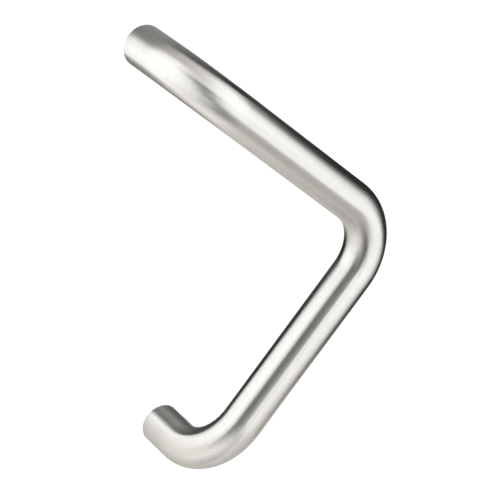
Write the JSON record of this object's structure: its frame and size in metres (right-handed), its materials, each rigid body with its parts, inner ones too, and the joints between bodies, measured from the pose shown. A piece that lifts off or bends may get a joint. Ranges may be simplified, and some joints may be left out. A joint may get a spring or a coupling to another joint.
{
  "type": "v-shaped pull handle",
  "caption": "Door pull bent from round satin stainless tube into a V that stands off the door, with a threaded fixing in each cut end.",
  "frame": {"origin": "midway between the two fixing holes, on the plane of the tube's cut ends, which is the face of the door", "axes": "+Z along the line of the fixings, which is upright on a door; +Y into the door; +X towards the point of the V"},
  "size_m": [0.1626, 0.084, 0.33],
  "materials": {
    "satin_stainless": "satin stainless, brushed round the tube",
    "turned_steel": "turned steel with fine facing rings"
  },
  "bodies": {
    "root": {"handle_tube": "satin_stainless", "upper_insert": "turned_steel", "lower_insert": "turned_steel"}
  },
  "joints": []
}
